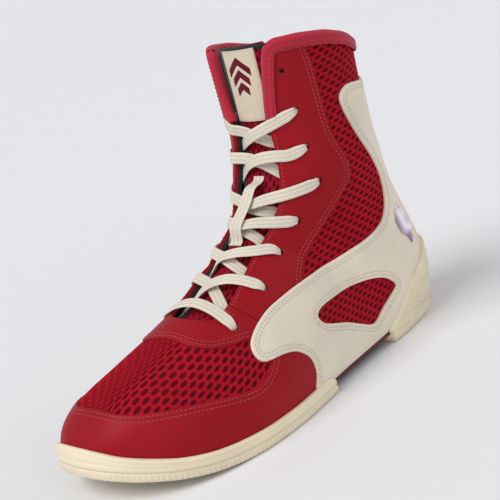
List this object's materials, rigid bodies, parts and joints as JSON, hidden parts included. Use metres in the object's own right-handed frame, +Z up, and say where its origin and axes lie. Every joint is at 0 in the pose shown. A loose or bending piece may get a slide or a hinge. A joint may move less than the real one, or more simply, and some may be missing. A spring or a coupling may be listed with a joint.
{
  "type": "boxing boot",
  "caption": "High-top lace-up boxing boot for the left foot: perforated mesh upper with leather overlays, folding tongue top, flat lace and two-part rubber sole.",
  "frame": {"origin": "middle of the bounding box in plan, on the floor plane that the tread stands on", "axes": "+Z up; -Y to the toe and +Y to the heel; +X to the outer (lateral) side of this left boot"},
  "size_m": [0.113, 0.2934, 0.2039],
  "materials": {
    "red_mesh": "perforated warp-knit sports mesh, matt",
    "red_skin": "smooth dyed sheet leather, low sheen",
    "crimson_binding": "folded knit binding tape, matt",
    "cream_skin": "smooth cream sheet leather, satin",
    "cream_rubber": "moulded natural rubber, matt",
    "maroon_plate": "moulded nylon plate, satin",
    "black_lining": "brushed knit lining, matt",
    "foam": "soft foam faced with knit",
    "board": "pressed fibre stiffener",
    "lace": "flat woven lace, matt",
    "aglet": "clear-coated tip",
    "badge": "moulded plastic with a metal-look face"
  },
  "bodies": {
    "root": {"aglet_lateral": "aglet", "aglet_medial": "aglet", "badge_lateral": "badge", "badge_medial": "badge", "collar_binding": "crimson_binding", "collar_pad_lateral": "foam", "collar_pad_medial": "foam", "eyestay_lateral": "red_skin", "eyestay_medial": "red_skin", "facing_lateral": "black_lining", "facing_medial": "black_lining", "heel_counter": "board", "insole_board": "board", "lace": "lace", "lace_keeper": "lace", "lining_lateral": "black_lining", "lining_medial": "black_lining", "lining_vamp": "black_lining", "midsole_plate": "maroon_plate", "outsole_forefoot": "cream_rubber", "outsole_heel": "cream_rubber", "quarter_mesh_lateral": "red_mesh", "quarter_mesh_medial": "red_mesh", "side_overlay_lateral": "cream_skin", "side_overlay_medial": "cream_skin", "sockliner": "foam", "throat_band": "red_skin", "toe_puff": "board", "toe_rand": "red_skin", "tongue_lining_lower": "black_lining", "tongue_lower": "red_mesh", "vamp_mesh": "red_mesh"},
    "tongue_top": {"tongue_top": "red_mesh", "tongue_lining_top": "black_lining", "tongue_label": "cream_skin"}
  },
  "joints": [
    {"name": "tongue_fold", "type": "hinge", "parent": "root", "child": "tongue_top", "pos_m": [0, 0.05024, 0.164], "axis": [-1, 0, 0], "range_deg": [0, 25], "stiffness_Nm_per_rad": 0.02}
  ]
}
